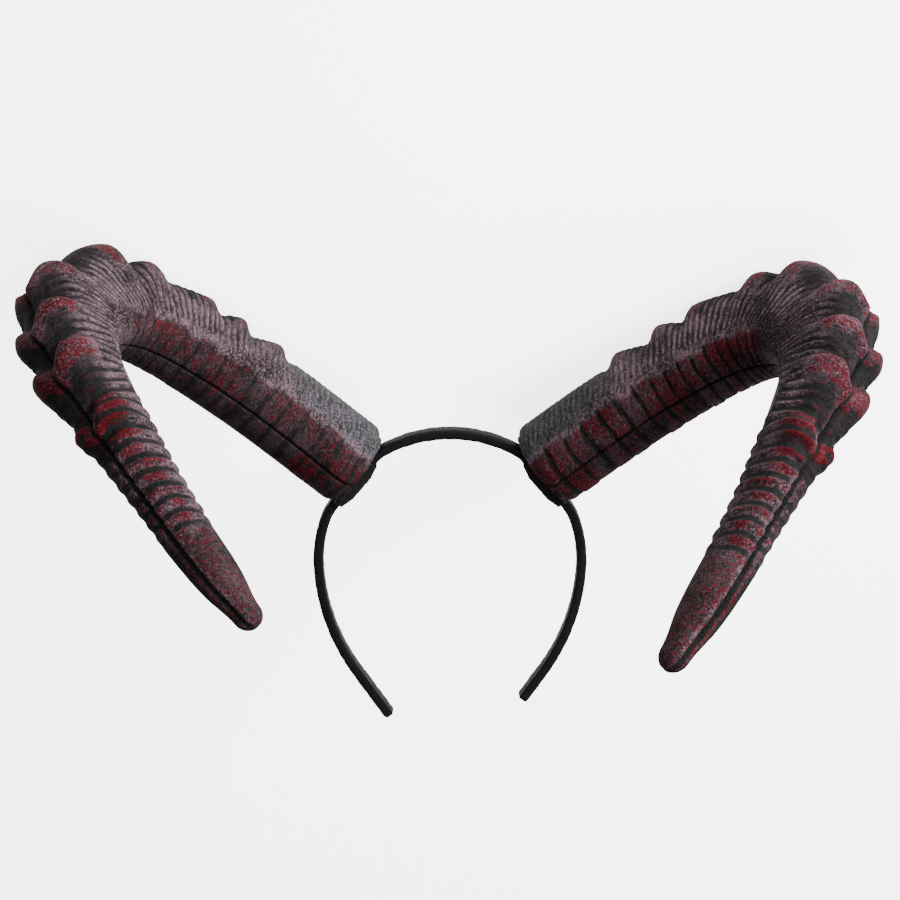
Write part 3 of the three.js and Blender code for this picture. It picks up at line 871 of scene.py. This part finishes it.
def foam_finish():
    material, wire, shader = new_finish("painted_foam", FOAM_SHINE)
    shades = {name: colour(code) for name, code in FOAM.items()}
    place = wire.object_place()
    grain, pores, blotch, brush = [wire.noise(place, *sizes) for sizes in FOAM_NOISE.values()]
    stretch = {"Vector": wire.skin_place(), "Scale": CREASES["drawn_out"], "Rotation": CREASES["turned"]}
    strokes = wire.noise(wire.node("ShaderNodeMapping", {}, stretch), *CREASES["noise"])
    red, wash_and_shade, bare = wire.mask("red"), wire.mask("wash_and_shade"), wire.mask("bare")
    salt = (pores * 0.6 + grain * 0.4).step(0.42, 0.6)
    creases = (1 - strokes.step(0.36, 0.5)) * 0.75
    tint = (salt * 0.6 + blotch.step(0.36, 0.64) * 0.4).mix(shades["charcoal"], shades["bloom"])
    tint = (bare * 0.9).mix(tint, salt.mix(shades["bare_dark"], shades["bare"]))
    # The wash mask also carries painted shade, and where it is lowered along the seam of the point, a
    # painted sheen.
    tint = (creases + wash_and_shade * 0.9 - creases * wash_and_shade * 0.9).mix(tint, shades["wash_and_shade"])
    cover = (red + brush * 1.8 + strokes * 3.0 - 3.0).step(0.0, 0.5)
    tint = (cover * 0.85).mix(tint, salt.mix(shades["red"], shades["bright"]))
    # Painted glints: pale specks on the pores, kept out of the wash.
    tint = (pores.step(0.57, 0.69) * (1 - wash_and_shade) * 0.3).mix(tint, shades["painted_glint"])
    bump = wire.bump(grain * 0.6 + pores * 0.9 + strokes * 1.1, 0.7, 0.0008)
    connect(wire, shader, Base_Color=tint, Roughness=0.6 + grain * 0.2 + wash_and_shade * 0.2, Normal=bump)
    return material


painted_foam = foam_finish()
print("painted foam has", len(painted_foam.node_tree.nodes), "nodes")

# %% [markdown]
# ## Satin and felt
# Satin is close to black, with threads drawn out along the band. Felt is matt and fuzzy. Both are too dark
# to show much colour, so most of their look is in roughness and bump, from two noises each. Their shine is
# kept very low, because a pale floor all round would turn black cloth grey.

# %% Satin and felt finishes
SATIN = {"dark": "#030304", "light": "#080709", "shine": 0.03, "drawn_out": (0.35, 1.6, 1.0)}
SATIN_NOISE = {"weave": (2600, 2, 0.5), "gathers": (260, 3, 0.5)}
FELT = {"dark": "#040405", "light": "#100f10", "shine": 0.04}
FELT_NOISE = {"fuzz": (1800, 5, 0.7), "tufts": (500, 3, 0.6)}


def satin_finish():
    material, wire, shader = new_finish("black_satin", SATIN["shine"])
    skin = wire.skin_place()
    threads = wire.node("ShaderNodeVectorMath", {"operation": "MULTIPLY"}, {0: skin, 1: SATIN["drawn_out"]})
    weave = wire.noise(threads, *SATIN_NOISE["weave"])
    gathers = wire.noise(skin, *SATIN_NOISE["gathers"])
    tint = (weave * 0.6 + gathers * 0.4).mix(colour(SATIN["dark"]), colour(SATIN["light"]))
    bump = wire.bump(weave * 0.4 + gathers, 0.4, 0.0004)
    connect(wire, shader, Base_Color=tint, Roughness=0.55 + weave * 0.2, Normal=bump)
    return material


def felt_finish():
    material, wire, shader = new_finish("black_felt", FELT["shine"])
    place = wire.object_place()
    fuzz, tufts = [wire.noise(place, *sizes) for sizes in FELT_NOISE.values()]
    tint = (fuzz * 0.7 + tufts * 0.3).mix(colour(FELT["dark"]), colour(FELT["light"]))
    bump = wire.bump(fuzz + tufts * 0.5, 0.7, 0.0006)
    connect(wire, shader, Base_Color=tint, Roughness=0.86 + fuzz * 0.12, Normal=bump)
    return material


black_satin, black_felt = satin_finish(), felt_finish()
print("finishes:", painted_foam.name, black_satin.name, black_felt.name)

# %% [markdown]
# ## Joining the pieces to the solids
# Each piece stands for one imported solid, which is hidden; it gets its own finish and moves with the one
# body. The size each felt strip was cut to is printed.

# %% Finishes and the one body
for (side, front), half in halves.items():
    half.data.materials.append(painted_foam)
    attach(half, "root")
    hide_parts(f"horn_{side}_{'front' if front else 'back'}")
band.data.materials.append(black_satin)
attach(band, "root")
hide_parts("band")
for side, (patch, width, area) in patches.items():
    patch.data.materials.append(black_felt)
    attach(patch, "root")
    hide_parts(f"base_patch_{side}")
    width * MM
    area * MM * MM
    print(patch.name, "cut", round(width, 1), "mm wide,", round(area), "square mm")

# %% [markdown]
# ## Floor and light
# The headband lies on a plain floor that shines by itself, as a lit white backdrop does, so the floor stays
# white and shadows stay faint without strong lamps. Three soft lamps shape the horns: a low one in front on
# the right, which lights the sides that face it, one over the right horn, which lights the inner faces, and
# a weak wide one behind.

# %% Floor
FLOOR = {"half": 40, "white": (0.92, 0.92, 0.92, 1), "shine": 0.5, "roughness": 0.9, "glow": 3.6}
WHITE = (1, 1, 1, 1)
bm = bmesh.new()
bmesh.ops.create_grid(bm, x_segments=1, y_segments=1, size=FLOOR["half"])
floor = finished_object("floor", bm)
paper, _, paper_shader = new_finish("pale_paper", FLOOR["shine"])
paper_shader.inputs["Base Color"].default_value = FLOOR["white"]
paper_shader.inputs["Roughness"].default_value = FLOOR["roughness"]
paper_shader.inputs["Emission Color"].default_value = WHITE
paper_shader.inputs["Emission Strength"].default_value = FLOOR["glow"]
floor.data.materials.append(paper)

# %% Lamps
LAMP_AIM = (0, 0, 0.08)
#         name           place             size  power
LAMPS = (("lamp_front", (1.5, 1.3, 0.36), 0.7, 265),
         ("lamp_above", (0.5, 0.3, 1.2), 0.9, 32),
         ("lamp_behind", (-0.6, -1.8, 1.0), 1.6, 14))
WORLD_GLOW = 0.26

for name, place, size, power in LAMPS:
    lamp_data = bpy.data.lights.new(name, "AREA")
    lamp_data.shape = "SQUARE"
    lamp_data.size = size
    lamp_data.energy = power
    lamp = bpy.data.objects.new(name, lamp_data)
    bpy.context.scene.collection.objects.link(lamp)
    aim = Vector(LAMP_AIM) - Vector(place)
    lamp.matrix_world = Matrix.Translation(place) @ aim.to_track_quat("-Z", "Y").to_matrix().to_4x4()
    print(name, "shines from", round(aim.length, 2), "m away")
world = bpy.data.worlds.new("studio")
world.use_nodes = True
world.node_tree.nodes["Background"].inputs["Color"].default_value = WHITE
world.node_tree.nodes["Background"].inputs["Strength"].default_value = WORLD_GLOW
bpy.context.scene.world = world
